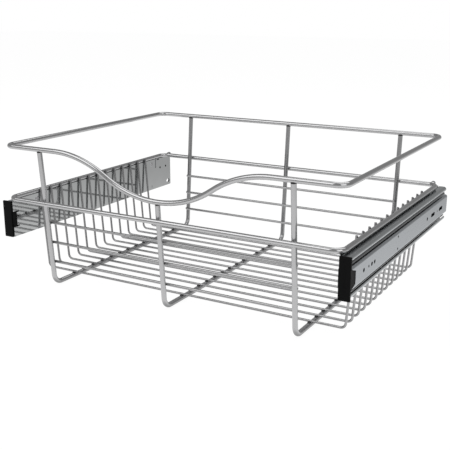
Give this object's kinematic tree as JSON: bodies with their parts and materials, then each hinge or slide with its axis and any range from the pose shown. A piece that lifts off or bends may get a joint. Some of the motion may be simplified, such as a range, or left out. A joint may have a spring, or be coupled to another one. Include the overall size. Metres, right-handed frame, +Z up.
{
  "type": "pull out cabinet basket",
  "caption": "Wire basket with a scooped front rim, on full extension ball bearing slides with screw holes for the cabinet sides.",
  "frame": {"origin": "centre of the bounding box's footprint, on the underside of the wire feet", "axes": "+Z up, +X across the cabinet to the right as seen from the front, -Y out of the cabinet towards the user"},
  "size_m": [0.4572, 0.353, 0.176],
  "materials": {
    "wire": "bright chrome plate",
    "side_plate": "bright plated sheet",
    "slide_rail": "bright zinc plate",
    "ball_cage": "satin zinc plate",
    "ball": "polished",
    "rivet": "satin",
    "cap": "fine matt moulding"
  },
  "bodies": {
    "cabinet_rails": {"left_cabinet_rail": "slide_rail", "right_cabinet_rail": "slide_rail"},
    "basket": {"top_rim": "wire", "middle_rim": "wire", "left_frame_wire": "wire", "centre_frame_wire": "wire", "right_frame_wire": "wire", "floor_wire_01": "wire", "floor_wire_02": "wire", "floor_wire_03": "wire", "floor_wire_04": "wire", "floor_wire_05": "wire", "floor_wire_06": "wire", "floor_wire_07": "wire", "floor_wire_08": "wire", "floor_wire_09": "wire", "floor_wire_10": "wire", "floor_wire_11": "wire", "floor_wire_12": "wire", "floor_wire_13": "wire", "front_cross_wire_1": "wire", "front_cross_wire_2": "wire", "front_cross_wire_3": "wire", "back_cross_wire_1": "wire", "back_cross_wire_2": "wire", "back_cross_wire_3": "wire", "left_side_plate": "side_plate", "left_basket_rail": "slide_rail", "left_front_cap": "cap", "left_plate_rivets": "rivet", "right_side_plate": "side_plate", "right_basket_rail": "slide_rail", "right_front_cap": "cap", "right_plate_rivets": "rivet"},
    "left_middle_body": {"left_middle_rail": "slide_rail"},
    "left_wide_cage_body": {"left_wide_cage": "ball_cage", "left_wide_balls": "ball"},
    "left_narrow_cage_body": {"left_narrow_cage": "ball_cage", "left_narrow_balls": "ball"},
    "right_middle_body": {"right_middle_rail": "slide_rail"},
    "right_wide_cage_body": {"right_wide_cage": "ball_cage", "right_wide_balls": "ball"},
    "right_narrow_cage_body": {"right_narrow_cage": "ball_cage", "right_narrow_balls": "ball"}
  },
  "joints": [
    {"name": "basket_slide", "type": "slide", "parent": "cabinet_rails", "child": "basket", "axis": [0, -1, 0], "range_m": [0, 0.35]},
    {"name": "left_middle_slide", "type": "slide", "parent": "cabinet_rails", "child": "left_middle_body", "axis": [0, -1, 0], "range_m": [0, 0.175]},
    {"name": "left_wide_cage_slide", "type": "slide", "parent": "cabinet_rails", "child": "left_wide_cage_body", "axis": [0, -1, 0], "range_m": [0, 0.2625]},
    {"name": "left_narrow_cage_slide", "type": "slide", "parent": "cabinet_rails", "child": "left_narrow_cage_body", "axis": [0, -1, 0], "range_m": [0, 0.0875]},
    {"name": "right_middle_slide", "type": "slide", "parent": "cabinet_rails", "child": "right_middle_body", "axis": [0, -1, 0], "range_m": [0, 0.175]},
    {"name": "right_wide_cage_slide", "type": "slide", "parent": "cabinet_rails", "child": "right_wide_cage_body", "axis": [0, -1, 0], "range_m": [0, 0.2625]},
    {"name": "right_narrow_cage_slide", "type": "slide", "parent": "cabinet_rails", "child": "right_narrow_cage_body", "axis": [0, -1, 0], "range_m": [0, 0.0875]}
  ],
  "couplings": [
    {"joint": "left_middle_slide", "follows": "basket_slide", "ratio": 0.5},
    {"joint": "left_wide_cage_slide", "follows": "basket_slide", "ratio": 0.75},
    {"joint": "left_narrow_cage_slide", "follows": "basket_slide", "ratio": 0.25},
    {"joint": "right_middle_slide", "follows": "basket_slide", "ratio": 0.5},
    {"joint": "right_wide_cage_slide", "follows": "basket_slide", "ratio": 0.75},
    {"joint": "right_narrow_cage_slide", "follows": "basket_slide", "ratio": 0.25}
  ]
}
